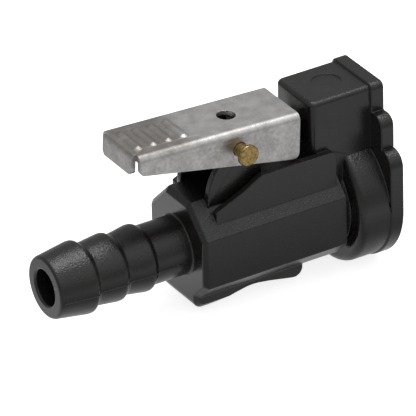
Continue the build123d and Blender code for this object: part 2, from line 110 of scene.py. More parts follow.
# Lamp, overhead and a little behind
LAMP_DIRECTION = Vector((0.16, 0.1, 0.98))  # from the object
LAMP_DISTANCE = 0.7
LAMP_AIM = Vector((-0.03, 0, 0))
LAMP_LENGTH = 0.42
LAMP_WIDTH = 0.24
LAMP_POWER = 2.1

# Surroundings: brighter round one direction
SKY_DIRECTION = (0.1, -0.35, 0.93)
SKY_FADE = (0.45, 0.9)  # cosine from that direction, from side light to soft light

# Floor: paper that glossy surfaces see with painted shade round the object and painted light behind
# it, evened out far from it
PAPER = "#e6e6e6"
PAPER_GLOW = 0.8  # to the camera, so that only a faint shadow is left
FRONT_FADE = (-45 * MM, -16 * MM)  # y, open floor to the floor beside the object
BACK_FADE = (-14 * MM, -3 * MM)  # y, beside the object to behind it
FAR_FADE = (55 * MM, 85 * MM)  # distance at which the floor turns even
# Levels of that painted shade and painted light: in front, beside the object, behind it, and far off
FRONT_SHADE = 0.85
BESIDE_SHADE = 0.34
BACK_SHADE = 1.2
FAR_SHADE = 0.5


# ------------------------------------------------------------------ small helpers
def linear(hex_colour):
    """Linear RGBA of an sRGB colour written as #rrggbb."""
    channels = [int(hex_colour[i : i + 2], 16) / 255 for i in (1, 3, 5)]
    return [
        c / 12.92 if c <= 0.04045 else ((c + 0.055) / 1.055) ** 2.4 for c in channels
    ] + [1.0]


def add(tree, kind, inputs=None, **settings):
    """Adds a node with its settings, values and incoming links."""
    node = tree.nodes.new(kind)
    for name, value in settings.items():
        setattr(node, name, value)
    for socket, value in (inputs or {}).items():
        if isinstance(value, bpy.types.NodeSocket):
            tree.links.new(value, node.inputs[socket])
        else:
            node.inputs[socket].default_value = value
    return node


def material_tree(name):
    """An empty material and its tree."""
    material = bpy.data.materials.new(name)
    material.use_nodes = True
    material.node_tree.nodes.clear()
    return material, material.node_tree


def finish_material(tree, shader):
    """Joins the shader to the surface."""
    add(tree, "ShaderNodeOutputMaterial", {"Surface": shader.outputs[0]})


def link(name, mesh):
    """A new object at the origin that shows the mesh."""
    made = bpy.data.objects.new(name, mesh)
    bpy.context.scene.collection.objects.link(made)
    return made


def baked(piece):
    """Turns the piece's modifiers into its plain mesh."""
    bpy.context.view_layer.update()
    graph = bpy.context.evaluated_depsgraph_get()
    mesh = bpy.data.meshes.new_from_object(piece.evaluated_get(graph))
    mesh.name = piece.name
    piece.modifiers.clear()
    piece.data = mesh
    return piece


def gap(point, edge):
    """Distance from a point to an edge."""
    start, end = edge.verts[0].co, edge.verts[1].co
    foot, along = intersect_point_line(point, start, end)
    return (point - (start if along < 0 else end if along > 1 else foot)).length


def room_round(edge):
    """Distance from an edge to what else bounds its faces."""
    middle = (edge.verts[0].co + edge.verts[1].co) / 2
    joined = [near.calc_length() for end in edge.verts for near in end.link_edges]
    opposite = [
        gap(middle, other)
        for face in edge.link_faces
        for other in face.edges
        if not set(other.verts) & set(edge.verts)
    ]
    return min(joined + opposite)


def softened(node, name, width, segments, material):
    """A copy of a solid with its sharp edges rounded, as a mould or a tumbler leaves them."""
    shape = bmesh.new()
    shape.from_mesh(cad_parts[node].data)
    bmesh.ops.remove_doubles(shape, verts=shape.verts, dist=1e-6)
    # Flat facets are merged, apart from slivers: a merged thin ring would fill wrongly.
    slivers = [
        face
        for face in shape.faces
        if 2 * face.calc_area() < SLIVER_WIDTH * max(edge.calc_length() for edge in face.edges)
    ]
    held_edges = {edge for face in slivers for edge in face.edges}
    held_verts = {vert for face in slivers for vert in face.verts}
    bmesh.ops.dissolve_limit(
        shape, angle_limit=FLAT_ANGLE,
        verts=[vert for vert in shape.verts if vert not in held_verts],
        edges=[edge for edge in shape.edges if edge not in held_edges],
    )
    # Each sharp edge is rounded as far as there is room.
    share = shape.edges.layers.float.new("bevel_weight_edge")
    for edge in shape.edges:
        if len(edge.link_faces) == 2 and edge.calc_face_angle() > SHARP_ANGLE:
            edge[share] = min(1.0, ROOM_SHARE * room_round(edge) / width)
    mesh = bpy.data.meshes.new(name)
    shape.to_mesh(mesh)
    shape.free()
    mesh.materials.clear()
    mesh.materials.append(material)
    piece = link(name, mesh)
    rounding = piece.modifiers.new("edge_rounding", "BEVEL")
    rounding.width = width
    rounding.segments = segments
    rounding.limit_method = "WEIGHT"
    rounding.use_clamp_overlap = False
    baked(piece)
    for face in piece.data.polygons:
        face.use_smooth = True
    piece.data.set_sharp_from_angle(angle=CREASE_ANGLE)
    levelled = piece.modifiers.new("flat_faces_first", "WEIGHTED_NORMAL")
    levelled.keep_sharp = True
    baked(piece)
    return piece


def socket_id(tree, name):
    """The identifier of a named input of a geometry tree."""
    for item in tree.interface.items_tree:
        if item.item_type == "SOCKET" and item.in_out == "INPUT" and item.name == name:
            return item.identifier
    raise RuntimeError(f"{tree.name} has no input {name}")


def grown(piece, tree, values, material):
    """Turns the piece into the plain mesh that a geometry tree makes of it."""
    maker = piece.modifiers.new("maker", "NODES")
    maker.node_group = tree
    for label, value in values.items():
        maker[socket_id(tree, label)] = value
    maker[socket_id(tree, "Material")] = material
    return baked(piece)


def generated(name, tree, values, material, place):
    """A plain mesh made by a geometry tree, moved to its place."""
    piece = grown(link(name, bpy.data.meshes.new(name)), tree, values, material)
    piece.data.transform(place)
    return piece


def new_geometry_tree(name, sizes, shape_input=False):
    """A geometry tree with named size inputs, a material and one output."""
    tree = bpy.data.node_groups.new(name, "GeometryNodeTree")
    sockets = tree.interface
    if shape_input:
        sockets.new_socket("Shape", in_out="INPUT", socket_type="NodeSocketGeometry")
    for label in sizes:
        made = sockets.new_socket(label, in_out="INPUT", socket_type="NodeSocketFloat")
        made.subtype = "DISTANCE"
    sockets.new_socket("Material", in_out="INPUT", socket_type="NodeSocketMaterial")
    sockets.new_socket("Piece", in_out="OUTPUT", socket_type="NodeSocketGeometry")
    return tree, add(tree, "NodeGroupInput").outputs


def end_geometry_tree(tree, geometry, material):
    """Smooth shading, real geometry and the material, as every tree ends."""
    smooth = add(tree, "GeometryNodeSetShadeSmooth", {"Geometry": geometry})
    real = add(tree, "GeometryNodeRealizeInstances", {"Geometry": smooth.outputs[0]})
    dressed = add(
        tree, "GeometryNodeSetMaterial", {"Geometry": real.outputs[0], "Material": material}
    )
    add(tree, "NodeGroupOutput", {"Piece": dressed.outputs[0]})


# ------------------------------------------------------------------ what a user may change
class CouplingFinish(bpy.types.PropertyGroup):
    """Colours of the moulding, sheet, brass, wire and seals."""

    nylon: bpy.props.FloatVectorProperty(
        name="Nylon", description="Colour of the moulded body", subtype="COLOR", size=4,
        min=0, max=1, default=linear("#121110"),
    )
    nylon_worn: bpy.props.FloatVectorProperty(
        name="Nylon, worn", description="Paler tone where the skin is rubbed", subtype="COLOR",
        size=4, min=0, max=1, default=linear("#1c1a18"),
    )
    steel: bpy.props.FloatVectorProperty(
        name="Stainless sheet", description="Colour of the latch lever", subtype="COLOR",
        size=4, min=0, max=1, default=linear("#cfcecd"),
    )
    steel_film: bpy.props.FloatVectorProperty(
        name="Stainless sheet, handled", description="Greyer tone where fingers have been",
        subtype="COLOR", size=4, min=0, max=1, default=linear("#95918d"),
    )
    brass: bpy.props.FloatVectorProperty(
        name="Brass", description="Colour of the pivot pin", subtype="COLOR", size=4,
        min=0, max=1, default=linear("#ad9363"),
    )
    brass_tarnish: bpy.props.FloatVectorProperty(
        name="Brass, tarnished", description="Browner tone in specks over the pin",
        subtype="COLOR", size=4, min=0, max=1, default=linear("#80683d"),
    )
    wire: bpy.props.FloatVectorProperty(
        name="Spring wire", description="Colour of both springs", subtype="COLOR", size=4,
        min=0, max=1, default=linear("#b9b9bb"),
    )
    acetal: bpy.props.FloatVectorProperty(
        name="Acetal", description="Colour of the valve and its seat", subtype="COLOR",
        size=4, min=0, max=1, default=linear("#424346"),
    )
    nitrile: bpy.props.FloatVectorProperty(
        name="Nitrile", description="Colour of the seals", subtype="COLOR", size=4,
        min=0, max=1, default=linear("#191919"),
    )


class CouplingSizes(bpy.types.PropertyGroup):
    """Edge roundings, wire sizes and the mould's parting line."""

    body_round: bpy.props.FloatProperty(
        name="Body edges", description="Rounding of the moulded edges", default=0.2 * MM,
        min=0, unit="LENGTH",
    )
    sheet_round: bpy.props.FloatProperty(
        name="Sheet edges", description="Rounding of the tumbled sheet edges",
        default=0.1 * MM, min=0, unit="LENGTH",
    )
    pin_round: bpy.props.FloatProperty(
        name="Pin edges", description="Rounding of the turned edges", default=0.1 * MM,
        min=0, unit="LENGTH",
    )
    seam_drop: bpy.props.FloatProperty(
        name="Parting line drop", description="Socket axis down to the parting line",
        default=0.6 * MM, unit="LENGTH",
    )
    seam_radius: bpy.props.FloatProperty(
        name="Parting line", description="Half width of the flash on the barb",
        default=0.09 * MM, min=0, unit="LENGTH",
    )
    lever_wire: bpy.props.FloatProperty(
        name="Lever spring wire", description="Radius of the lever spring's wire",
        default=0.25 * MM, min=0, unit="LENGTH",
    )
    lever_coil: bpy.props.FloatProperty(
        name="Lever spring coil", description="Radius of the coil round the pin",
        default=1.43 * MM, min=0, unit="LENGTH",
    )
    lever_pitch: bpy.props.FloatProperty(
        name="Lever spring pitch", description="From one turn to the next",
        default=0.56 * MM, min=0, unit="LENGTH",
    )
    lever_turns: bpy.props.FloatProperty(
        name="Lever spring turns", description="Turns between the legs", default=4.27, min=1
    )
    lever_start: bpy.props.FloatProperty(
        name="Lever spring start", description="Where the lower leg leaves the coil",
        default=math.radians(-15.0), unit="ROTATION",
    )
    deck_leg: bpy.props.FloatProperty(
        name="Lower leg", description="Leg that stands on the deck", default=7.56 * MM,
        min=0, unit="LENGTH",
    )
    web_leg: bpy.props.FloatProperty(
        name="Upper leg", description="Leg that lifts the web", default=6.2 * MM, min=0,
        unit="LENGTH",
    )
    valve_wire: bpy.props.FloatProperty(
        name="Valve spring wire", description="Radius of the valve spring's wire",
        default=0.35 * MM, min=0, unit="LENGTH",
    )
    valve_turns: bpy.props.FloatProperty(
        name="Valve spring turns", description="Turns of the valve spring", default=5.0, min=1
    )


class CouplingStudio(bpy.types.PropertyGroup):
    """Camera and light."""

    azimuth: bpy.props.FloatProperty(
        name="Azimuth", description="Camera's turn about the upright axis",
        default=math.radians(-31.0191), unit="ROTATION",
    )
    elevation: bpy.props.FloatProperty(
        name="Elevation", description="Camera's height above level",
        default=math.radians(29.9548), unit="ROTATION",
    )
    roll: bpy.props.FloatProperty(
        name="Roll", description="Camera's roll", default=math.radians(-1.5026),
        unit="ROTATION",
    )
    distance: bpy.props.FloatProperty(
        name="Distance", description="Camera to the shoulder of the body", default=1.0,
        min=0.1, unit="LENGTH",
    )
    aim_right: bpy.props.FloatProperty(
        name="Aim right", description="Shoulder to the middle of the view, sideways",
        default=4.743 * MM, unit="LENGTH",
    )
    aim_up: bpy.props.FloatProperty(
        name="Aim up", description="Shoulder to the middle of the view, upwards",
        default=5.543 * MM, unit="LENGTH",
    )
    lens: bpy.props.FloatProperty(
        name="Lens", description="Focal length in millimetres", default=566.7, min=10
    )
    floor_size: bpy.props.FloatProperty(
        name="Floor", description="Width of the floor", default=8.0, min=1, unit="LENGTH"
    )
    side_light: bpy.props.FloatProperty(
        name="Side light", description="Strength of the surroundings at the sides",
        default=0.47, min=0,
    )
    top_light: bpy.props.FloatProperty(
        name="Soft light", description="Strength of the surroundings round the key direction",
        default=1.2, min=0,
    )


# ------------------------------------------------------------------ materials
def glass_filled_nylon():
    """Black glass-filled nylon, injection moulded: deep black with a satin skin. Spark-eroded
    grain shows on what faces up, and flat walls across the axis keep the tool's polish."""
    finish = bpy.context.scene.coupling_finish
    material, tree = material_tree("glass_filled_nylon_moulded")
    coordinates = add(tree, "ShaderNodeTexCoord").outputs
    place = coordinates["Object"]
    facing = add(tree, "ShaderNodeSeparateXYZ", {"Vector": coordinates["Normal"]}).outputs
    # Spark-eroded grain is about 0.1 mm; it is drawn at 0.26 mm so that it shows.
    grain = add(
        tree, "ShaderNodeTexNoise",
        {"Vector": place, "Scale": 1 / (0.26 * MM), "Detail": 2.0, "Roughness": 0.5},
    )
    # Flow marks and handling, about 4 mm across
    flow = add(
        tree, "ShaderNodeTexNoise",
        {"Vector": place, "Scale": 1 / (4 * MM), "Detail": 4.0, "Roughness": 0.55},
    )
    upward = add(
        tree, "ShaderNodeMapRange", {"Value": facing["Z"], "From Min": 0.25, "From Max": 0.55}
    )
    across = add(
        tree, "ShaderNodeMapRange", {"Value": facing["X"], "From Min": -0.75, "From Max": -0.95}
    )
    skin = add(
        tree, "ShaderNodeMapRange",
        {"Value": flow.outputs["Fac"], **NOISE_SPAN, "To Min": 0.24, "To Max": 0.32},
    )
    grained = add(
        tree, "ShaderNodeMix",
        {"Factor": upward.outputs[0], "A": skin.outputs[0], "B": 0.3}, data_type="FLOAT",
    )
    polished = add(
        tree, "ShaderNodeMix",
        {"Factor": across.outputs[0], "A": grained.outputs[0], "B": 0.16}, data_type="FLOAT",
    )
    grain_depth = add(
        tree, "ShaderNodeMapRange", {"Value": upward.outputs[0], "To Min": 0.25, "To Max": 0.9}
    )
    relief = add(
        tree, "ShaderNodeBump",
        {"Height": grain.outputs["Fac"], "Strength": grain_depth.outputs[0],
         "Distance": 0.09 * MM},
    )
    tone = add(
        tree, "ShaderNodeMix",
        {"Factor": flow.outputs["Fac"], FIRST_COLOUR: finish.nylon[:],
         SECOND_COLOUR: finish.nylon_worn[:]},
        data_type="RGBA",
    )
    shader = add(
        tree, "ShaderNodeBsdfPrincipled",
        {"Base Color": tone.outputs[MIXED_COLOUR], "Roughness": polished.outputs[0],
         "IOR": 1.53, "Normal": relief.outputs[0]},
    )
    finish_material(tree, shader)
    return material


def drawn_stainless():
    """Cold-rolled stainless sheet, stamped and tumbled: satin grey with fine rolling lines
    along the lever and cloudy patches where the tumbler dulled it."""
    finish = bpy.context.scene.coupling_finish
    material, tree = material_tree("stainless_sheet_stamped")
    coordinates = add(tree, "ShaderNodeTexCoord").outputs
    place = coordinates["Object"]
    along = add(tree, "ShaderNodeMapping", {"Vector": place, "Scale": (0.06, 1.0, 1.0)})
    # Rolling lines, 0.15 mm apart and some 2.5 mm long
    lines = add(
        tree, "ShaderNodeTexNoise",
        {"Vector": along.outputs[0], "Scale": 1 / (0.15 * MM), "Detail": 3.0},
    )
    clouds = add(
        tree, "ShaderNodeTexNoise",
        {"Vector": place, "Scale": 1 / (2.5 * MM), "Detail": 5.0, "Roughness": 0.6},
    )
    # Dents from the tumbling stones, about 0.5 mm across
    dents = add(
        tree, "ShaderNodeTexNoise",
        {"Vector": place, "Scale": 1 / (0.5 * MM), "Detail": 3.0, "Roughness": 0.65},
    )
    dulling = add(
        tree, "ShaderNodeMapRange",
        {"Value": dents.outputs["Fac"], **NOISE_SPAN, "To Min": 0.36, "To Max": 0.5},
    )
    rolled = add(
        tree, "ShaderNodeBump",
        {"Height": lines.outputs["Fac"], "Strength": 0.4, "Distance": 0.01 * MM},
    )
    relief = add(
        tree, "ShaderNodeBump",
        {"Height": dents.outputs["Fac"], "Strength": 0.5, "Distance": 0.02 * MM,
         "Normal": rolled.outputs[0]},
    )
    # Handling film: greyer under the thumb, over the ribs
    along_lever = add(tree, "ShaderNodeSeparateXYZ", {"Vector": place}).outputs["X"]
    thumbed = add(
        tree, "ShaderNodeMapRange",
        {"Value": along_lever, "From Min": PIN_BOX[0].x - 4 * MM,
         "From Max": PIN_BOX[0].x - 9 * MM, "To Max": 0.45},
        interpolation_type="SMOOTHSTEP",
    )
    facing = add(tree, "ShaderNodeSeparateXYZ", {"Vector": coordinates["Normal"]}).outputs["Z"]
    on_top = add(
        tree, "ShaderNodeMapRange", {"Value": facing, "From Min": 0.5, "From Max": 0.9}
    )
    film = add(
        tree, "ShaderNodeMath",
        {0: thumbed.outputs[0], 1: on_top.outputs[0], 2: clouds.outputs["Fac"]},
        operation="MULTIPLY_ADD",
    )
    mottled = add(
        tree, "ShaderNodeMath",
        {0: dents.outputs["Fac"], 1: 0.6, 2: film.outputs[0]}, operation="MULTIPLY_ADD",
    )
    filmed = add(
        tree, "ShaderNodeMapRange",
        {"Value": mottled.outputs[0], "From Min": 0.6, "From Max": 1.25},
    )
    tone = add(
        tree, "ShaderNodeMix",
        {"Factor": filmed.outputs[0], FIRST_COLOUR: finish.steel[:],
         SECOND_COLOUR: finish.steel_film[:]},
        data_type="RGBA",
    )
    shader = add(
        tree, "ShaderNodeBsdfPrincipled",
        {"Base Color": tone.outputs[MIXED_COLOUR], "Metallic": 1.0,
         "Roughness": dulling.outputs[0], "Normal": relief.outputs[0]},
    )
    finish_material(tree, shader)
    return material


def turned_brass():
    """Free-cutting brass, turned: soft yellow with fine rings left by the tool."""
    finish = bpy.context.scene.coupling_finish
    material, tree = material_tree("brass_turned")
    place = add(tree, "ShaderNodeTexCoord").outputs["Object"]
    centre = (PIN_BOX[0] + PIN_BOX[1]) / 2
    on_axis = add(tree, "ShaderNodeMapping", {"Vector": place, "Location": -centre})
    # Feed marks are 0.12 mm apart; they are drawn 0.24 mm apart so that they show.
    rings = add(
        tree, "ShaderNodeTexWave",
        {"Vector": on_axis.outputs[0], "Scale": WAVE_LENGTH / (0.24 * MM), "Distortion": 1.5,
         "Detail": 2.0},
        wave_type="RINGS", rings_direction="Y",
    )
    tarnish = add(
        tree, "ShaderNodeTexNoise", {"Vector": place, "Scale": 1 / (0.35 * MM), "Detail": 4.0}
    )
    browned = add(
        tree, "ShaderNodeMapRange",
        {"Value": tarnish.outputs["Fac"], "From Min": 0.42, "From Max": 0.68},
    )
    tone = add(
        tree, "ShaderNodeMix",
        {"Factor": browned.outputs[0], FIRST_COLOUR: finish.brass[:],
         SECOND_COLOUR: finish.brass_tarnish[:]},
        data_type="RGBA",
    )
    dulling = add(
        tree, "ShaderNodeMapRange",
        {"Value": tarnish.outputs["Fac"], **NOISE_SPAN, "To Min": 0.26, "To Max": 0.42},
    )
    relief = add(
        tree, "ShaderNodeBump",
        {"Height": rings.outputs["Fac"], "Strength": 0.2, "Distance": 0.01 * MM},
    )
    shader = add(
        tree, "ShaderNodeBsdfPrincipled",
        {"Base Color": tone.outputs[MIXED_COLOUR], "Metallic": 1.0,
         "Roughness": dulling.outputs[0], "Normal": relief.outputs[0]},
    )
    finish_material(tree, shader)
    return material


def drawn_wire():
    """Stainless spring wire, hard drawn: bright, with a little die scratching."""
    finish = bpy.context.scene.coupling_finish
    material, tree = material_tree("spring_wire_drawn")
    place = add(tree, "ShaderNodeTexCoord").outputs["Object"]
    scratches = add(
        tree, "ShaderNodeTexNoise", {"Vector": place, "Scale": 1 / (0.2 * MM), "Detail": 3.0}
    )
    dulling = add(
        tree, "ShaderNodeMapRange",
        {"Value": scratches.outputs["Fac"], **NOISE_SPAN, "To Min": 0.2, "To Max": 0.34},
    )
    shader = add(
        tree, "ShaderNodeBsdfPrincipled",
        {"Base Color": finish.wire[:], "Metallic": 1.0, "Roughness": dulling.outputs[0]},
    )
    finish_material(tree, shader)
    return material


def moulded_acetal():
    """Dark grey acetal, injection moulded: waxy, smoother than the nylon."""
    finish = bpy.context.scene.coupling_finish
    material, tree = material_tree("acetal_moulded")
    place = add(tree, "ShaderNodeTexCoord").outputs["Object"]
    waxiness = add(
        tree, "ShaderNodeTexNoise", {"Vector": place, "Scale": 1 / (1.2 * MM), "Detail": 3.0}
    )
    gloss = add(
        tree, "ShaderNodeMapRange",
        {"Value": waxiness.outputs["Fac"], **NOISE_SPAN, "To Min": 0.24, "To Max": 0.34},
    )
    relief = add(
        tree, "ShaderNodeBump",
        {"Height": waxiness.outputs["Fac"], "Strength": 0.1, "Distance": 0.02 * MM},
    )
    shader = add(
        tree, "ShaderNodeBsdfPrincipled",
        {"Base Color": finish.acetal[:], "Roughness": gloss.outputs[0], "IOR": 1.48,
         "Normal": relief.outputs[0]},
    )
    finish_material(tree, shader)
    return material


def nitrile_rubber():
    """Nitrile rubber, compression moulded: dull black with a slight oily bloom."""
    finish = bpy.context.scene.coupling_finish
    material, tree = material_tree("nitrile_rubber_moulded")
    place = add(tree, "ShaderNodeTexCoord").outputs["Object"]
    bloom = add(
        tree, "ShaderNodeTexNoise", {"Vector": place, "Scale": 1 / (0.8 * MM), "Detail": 4.0}
    )
    dulling = add(
        tree, "ShaderNodeMapRange",
        {"Value": bloom.outputs["Fac"], **NOISE_SPAN, "To Min": 0.42, "To Max": 0.6},
    )
    relief = add(
        tree, "ShaderNodeBump",
        {"Height": bloom.outputs["Fac"], "Strength": 0.15, "Distance": 0.02 * MM},
    )
    shader = add(
        tree, "ShaderNodeBsdfPrincipled",
        {"Base Color": finish.nitrile[:], "Roughness": dulling.outputs[0], "IOR": 1.52,
         "Normal": relief.outputs[0]},
    )
    finish_material(tree, shader)
    return material


def shared(make, name):
    """The material of that name, made once."""
    return bpy.data.materials.get(name) or make()


# ------------------------------------------------------------------ geometry trees
def coil_tree():
    """A round wire wound into a coil, with a straight leg at each end."""
    tree, given = new_geometry_tree(
        "wound_wire", ("Coil Radius", "Wire Radius", "Length", "First Leg", "Last Leg")
    )
    turns = tree.interface.new_socket("Turns", in_out="INPUT", socket_type="NodeSocketFloat")
    tree.interface.move(turns, 0)
    coil = add(
        tree, "GeometryNodeCurveSpiral",
        {"Resolution": COIL_STEPS, "Rotations": given["Turns"],
         "Start Radius": given["Coil Radius"], "End Radius": given["Coil Radius"],
         "Height": given["Length"]},
    )
    first_start = add(tree, "ShaderNodeCombineXYZ", {"X": given["Coil Radius"]})
    backwards = add(
        tree, "ShaderNodeMath", {0: given["First Leg"], 1: -1.0}, operation="MULTIPLY"
    )
    first_end = add(
        tree, "ShaderNodeCombineXYZ", {"X": given["Coil Radius"], "Y": backwards.outputs[0]}
    )
    first_leg = add(
        tree, "GeometryNodeCurvePrimitiveLine",
        {"Start": first_end.outputs[0], "End": first_start.outputs[0]},
    )
    full_turn = add(
        tree, "ShaderNodeMath", {0: given["Turns"], 1: 2 * math.pi}, operation="MULTIPLY"
    )
    last_start = add(
        tree, "ShaderNodeCombineXYZ", {"X": given["Coil Radius"], "Z": given["Length"]}
    )
    last_end = add(
        tree, "ShaderNodeCombineXYZ",
        {"X": given["Coil Radius"], "Y": given["Last Leg"], "Z": given["Length"]},
    )
    last_leg = add(
        tree, "GeometryNodeCurvePrimitiveLine",
        {"Start": last_start.outputs[0], "End": last_end.outputs[0]},
    )
    turn = add(tree, "ShaderNodeCombineXYZ", {"Z": full_turn.outputs[0]})
    last_leg = add(
        tree, "GeometryNodeTransform",
        {"Geometry": last_leg.outputs[0], "Rotation": turn.outputs[0]},
    )
    section = add(
        tree, "GeometryNodeCurvePrimitiveCircle",
        {"Resolution": WIRE_SIDES, "Radius": given["Wire Radius"]}, mode="RADIUS",
    )
    line = add(tree, "GeometryNodeJoinGeometry")
    for part in (first_leg, coil, last_leg):
        tree.links.new(part.outputs[0], line.inputs[0])
    wire = add(
        tree, "GeometryNodeCurveToMesh",
        {"Curve": line.outputs[0], "Profile Curve": section.outputs[0], "Fill Caps": True},
    )
    end_geometry_tree(tree, wire.outputs[0], given["Material"])
    return tree


def ring_tree():
    """A seal ring of round section."""
    tree, given = new_geometry_tree("seal_ring", ("Ring Radius", "Section Radius"))
    circle = add(
        tree, "GeometryNodeCurvePrimitiveCircle",
        {"Resolution": RING_STEPS, "Radius": given["Ring Radius"]}, mode="RADIUS",
    )
    section = add(
        tree, "GeometryNodeCurvePrimitiveCircle",
        {"Resolution": SEAL_SIDES, "Radius": given["Section Radius"]}, mode="RADIUS",
    )
    ring = add(
        tree, "GeometryNodeCurveToMesh",
        {"Curve": circle.outputs[0], "Profile Curve": section.outputs[0]},
    )
    end_geometry_tree(tree, ring.outputs[0], given["Material"])
    return tree


def seam_tree():
    """A thin ridge along each line of the shape it is given."""
    tree, given = new_geometry_tree("mould_seam", ("Ridge Radius",), shape_input=True)
    lines = add(tree, "GeometryNodeMeshToCurve", {"Mesh": given["Shape"]})
    section = add(
        tree, "GeometryNodeCurvePrimitiveCircle",
        {"Resolution": RIDGE_SIDES, "Radius": given["Ridge Radius"]}, mode="RADIUS",
    )
    ridge = add(
        tree, "GeometryNodeCurveToMesh",
        {"Curve": lines.outputs[0], "Profile Curve": section.outputs[0], "Fill Caps": True},
    )
    end_geometry_tree(tree, ridge.outputs[0], given["Material"])
    return tree


# ------------------------------------------------------------------ pieces
class COUPLING_OT_body(bpy.types.Operator):
    """Moulded body with rounded edges"""

    bl_idname = "coupling.body"
    bl_label = "Moulded Body"

    def execute(self, context):
        material = shared(glass_filled_nylon, "glass_filled_nylon_moulded")
        sizes = context.scene.coupling_sizes
        piece = softened("coupling_body", "moulded_body", sizes.body_round, 3, material)
        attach(piece, "body")
        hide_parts("coupling_body")
        return {"FINISHED"}


class COUPLING_OT_seam(bpy.types.Operator):
    """Parting line of the mould along both sides of the barb"""

    bl_idname = "coupling.seam"
    bl_label = "Parting Line"

    def execute(self, context):
        material = shared(glass_filled_nylon, "glass_filled_nylon_moulded")
        sizes = context.scene.coupling_sizes
        tip = BODY_BOX[0].x
        # Distance from the tip and radius of the barb, mm
        stations = (
            (0.6, 5.06), (5.55, 5.79), (6.25, 5.79), (7.05, 4.99), (10.85, 5.41), (11.55, 5.41),
            (12.35, 4.83), (15.85, 5.36), (16.55, 5.36), (17.35, 4.79), (22.9, 4.79),
        )
        points = []
        edges = []
        for side in (-1, 1):
            for index, (along, radius) in enumerate(stations):
                reach = math.sqrt((radius * MM) ** 2 - sizes.seam_drop**2)
                points.append((tip + along * MM, side * reach, -sizes.seam_drop))
                if index:
                    edges.append((len(points) - 2, len(points) - 1))
        mesh = bpy.data.meshes.new("barb_seam")
        mesh.from_pydata(points, edges, [])
        values = {"Ridge Radius": sizes.seam_radius}
        piece = grown(link("barb_seam", mesh), seam_tree(), values, material)
        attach(piece, "body")
        return {"FINISHED"}


class COUPLING_OT_lever(bpy.types.Operator):
    """Stamped latch lever with tumbled edges"""

    bl_idname = "coupling.lever"
    bl_label = "Latch Lever"

    def execute(self, context):
        material = shared(drawn_stainless, "stainless_sheet_stamped")
        sizes = context.scene.coupling_sizes
        piece = softened("latch_lever", "stamped_lever", sizes.sheet_round, 2, material)
        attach(piece, "lever")
        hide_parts("latch_lever")
        return {"FINISHED"}


class COUPLING_OT_pin(bpy.types.Operator):
    """Turned pivot pin"""

    bl_idname = "coupling.pin"
    bl_label = "Pivot Pin"

    def execute(self, context):
        material = shared(turned_brass, "brass_turned")
        sizes = context.scene.coupling_sizes
        piece = softened("pivot_pin", "turned_pin", sizes.pin_round, 3, material)
        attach(piece, "body")
        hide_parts("pivot_pin")
        return {"FINISHED"}


class COUPLING_OT_springs(bpy.types.Operator):
    """Lever spring round the pin and valve spring behind the poppet"""

    bl_idname = "coupling.springs"
    bl_label = "Springs"

    def execute(self, context):
        sizes = context.scene.coupling_sizes
        material = shared(drawn_wire, "spring_wire_drawn")
        tree = coil_tree()
        reach = VALVE_SPRING_BOX[1].z
        low, high = VALVE_SPRING_BOX
        length = high.x - low.x - 2 * sizes.valve_wire
        place = Matrix.Translation((low.x + sizes.valve_wire, 0, 0)) @ Matrix.Rotation(
            math.pi / 2, 4, "Y"
        )
        valve = generated(
            "valve_spring_wire", tree,
            {"Turns": sizes.valve_turns, "Coil Radius": reach - sizes.valve_wire,
             "Wire Radius": sizes.valve_wire, "Length": length, "First Leg": 0.0,
             "Last Leg": 0.0},
            material, place,
        )
        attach(valve, "body")
        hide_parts("valve_spring")
        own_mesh(valve)
        pivot = (PIN_BOX[0] + PIN_BOX[1]) / 2
        width = sizes.lever_turns * sizes.lever_pitch
        start = sizes.lever_start
        across = Vector((math.cos(start), 0, math.sin(start)))
        axis = Vector((0, -1, 0))
        turn = Matrix((across, axis.cross(across), axis)).transposed().to_4x4()
        middle = Vector((pivot.x, 0, pivot.z))
        place = Matrix.Translation(middle - axis * width / 2) @ turn
        lever = generated(
            "lever_spring_wire", tree,
            {"Turns": sizes.lever_turns, "Coil Radius": sizes.lever_coil,
             "Wire Radius": sizes.lever_wire, "Length": width, "First Leg": sizes.deck_leg,
             "Last Leg": sizes.web_leg},
            material, place,
        )
        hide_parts("lever_spring")
        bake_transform(lever)
        return {"FINISHED"}


class COUPLING_OT_socket(bpy.types.Operator):
    """Retainer, seat, poppet and both seals in the socket"""

    bl_idname = "coupling.socket"
    bl_label = "Socket Parts"

    def execute(self, context):
        acetal = shared(moulded_acetal, "acetal_moulded")
        for node in ("seal_retainer", "valve_seat", "valve_poppet"):
            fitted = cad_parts[node]
            fitted.data.materials.clear()
            fitted.data.materials.append(acetal)
        rubber = shared(nitrile_rubber, "nitrile_rubber_moulded")
        tree = ring_tree()
        for node, name, body, box in (
            ("socket_seal", "socket_seal_ring", "body", SOCKET_SEAL_BOX),
            ("poppet_seal", "poppet_seal_ring", "poppet", POPPET_SEAL_BOX),
        ):
            section = (box[1].x - box[0].x) / 2
            place = Matrix.Translation(((box[0].x + box[1].x) / 2, 0, 0)) @ Matrix.Rotation(
                math.pi / 2, 4, "Y"
            )
            ring = generated(
                name, tree,
                {"Ring Radius": box[1].z - section, "Section Radius": section}, rubber, place,
            )
            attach(ring, body)
            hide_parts(node)
        return {"FINISHED"}


